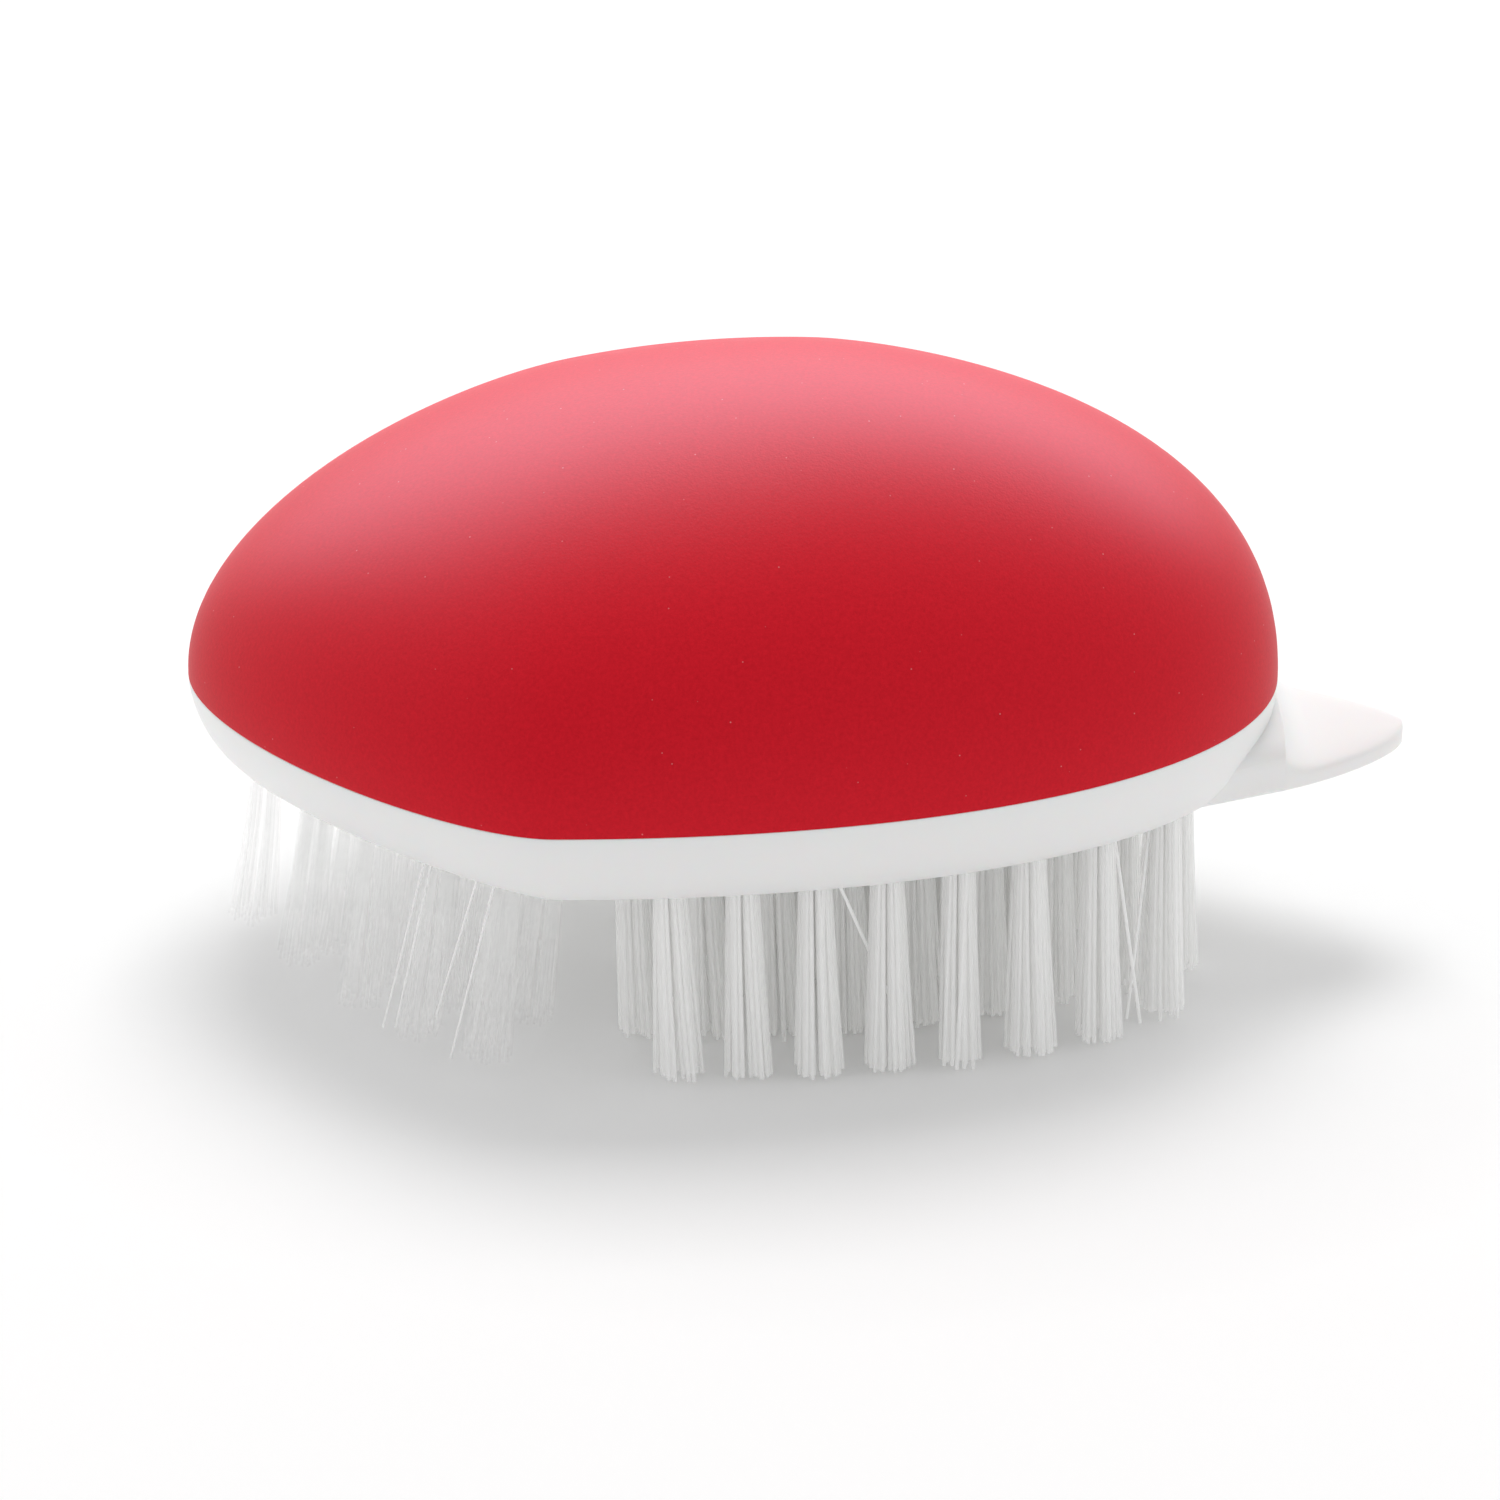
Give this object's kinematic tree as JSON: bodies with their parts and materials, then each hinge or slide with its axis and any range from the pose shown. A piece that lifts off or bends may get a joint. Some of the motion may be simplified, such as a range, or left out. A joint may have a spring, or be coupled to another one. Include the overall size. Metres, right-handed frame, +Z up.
{
  "type": "vegetable brush",
  "caption": "Palm vegetable brush: a soft red dome grip over a white block with a pointed beak, stiff bristle tufts towards the beak and finer ones at the tail.",
  "frame": {"origin": "under the middle of the whole length and width, at the level of the bristle tips", "axes": "+X from the tail to the beak, along the length; +Y to the left seen from the tail; +Z up, from the bristle tips to the top of the dome"},
  "size_m": [0.1282, 0.0804, 0.0656],
  "materials": {
    "grip_cover": "matt soft touch",
    "inner_shell": "as moulded",
    "brush_block": "smooth satin",
    "stiff_bristles": "milky, slightly translucent",
    "soft_bristles": "clear, slightly translucent",
    "staples": "drawn flat wire"
  },
  "bodies": {
    "root": {"grip_cover": "grip_cover", "inner_shell": "inner_shell", "brush_block": "brush_block", "stiff_tufts_outer_row": "stiff_bristles", "stiff_tufts_second_row": "stiff_bristles", "stiff_tufts_third_row": "stiff_bristles", "stiff_tufts_fourth_row": "stiff_bristles", "stiff_tufts_centre_row": "stiff_bristles", "soft_tufts_outer_row": "soft_bristles", "soft_tufts_second_row": "soft_bristles", "soft_tufts_third_row": "soft_bristles", "soft_tufts_fourth_row": "soft_bristles", "soft_tufts_centre_row": "soft_bristles", "stiff_staples_outer_row": "staples", "stiff_staples_second_row": "staples", "stiff_staples_third_row": "staples", "stiff_staples_fourth_row": "staples", "stiff_staples_centre_row": "staples", "soft_staples_outer_row": "staples", "soft_staples_second_row": "staples", "soft_staples_third_row": "staples", "soft_staples_fourth_row": "staples", "soft_staples_centre_row": "staples"}
  },
  "joints": []
}
